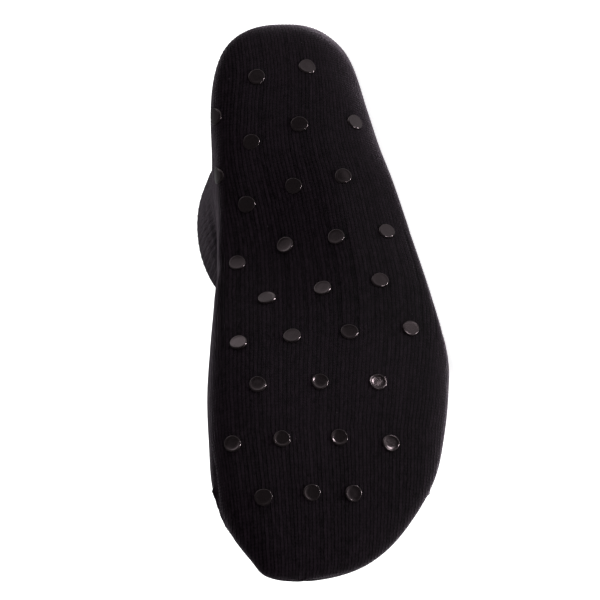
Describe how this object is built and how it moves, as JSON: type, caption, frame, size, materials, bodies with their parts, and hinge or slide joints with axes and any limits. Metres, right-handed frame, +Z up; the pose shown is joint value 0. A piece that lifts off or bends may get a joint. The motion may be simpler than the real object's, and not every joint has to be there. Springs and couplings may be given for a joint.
{
  "type": "grip sock",
  "caption": "Black knitted ankle sock in the form of a right foot, lying on its outer side, open at a ribbed collar, with round plastic grip dots printed on the sole.",
  "frame": {"origin": "on the floor, under the middle of the bounding box", "axes": "+X from the toes to the heel along the resting sock, +Y up the leg away from the sole, +Z up to the inner (big toe) side"},
  "size_m": [0.2476, 0.1271, 0.1129],
  "materials": {
    "knit": "matte black cotton-blend knit with a fine nap",
    "grip": "glossy black soft plastic print"
  },
  "bodies": {
    "root": {"knit_sock": "knit", "grip_dot_heel_end_1": "grip", "grip_dot_heel_end_2": "grip", "grip_dot_heel_end_3": "grip", "grip_dot_heel_1": "grip", "grip_dot_heel_2": "grip", "grip_dot_heel_3": "grip", "grip_dot_heel_4": "grip", "grip_dot_heel_front_1": "grip", "grip_dot_heel_front_2": "grip", "grip_dot_heel_front_3": "grip", "grip_dot_arch_rear_1": "grip", "grip_dot_arch_rear_2": "grip", "grip_dot_arch_rear_3": "grip", "grip_dot_arch_rear_4": "grip", "grip_dot_arch_1": "grip", "grip_dot_arch_2": "grip", "grip_dot_arch_3": "grip", "grip_dot_arch_front_1": "grip", "grip_dot_arch_front_2": "grip", "grip_dot_arch_front_3": "grip", "grip_dot_arch_front_4": "grip", "grip_dot_ball_1": "grip", "grip_dot_ball_2": "grip", "grip_dot_ball_3": "grip", "grip_dot_ball_front_1": "grip", "grip_dot_ball_front_2": "grip", "grip_dot_ball_front_3": "grip", "grip_dot_ball_front_4": "grip", "grip_dot_toe_1": "grip", "grip_dot_toe_2": "grip", "grip_dot_toe_3": "grip"}
  },
  "joints": []
}
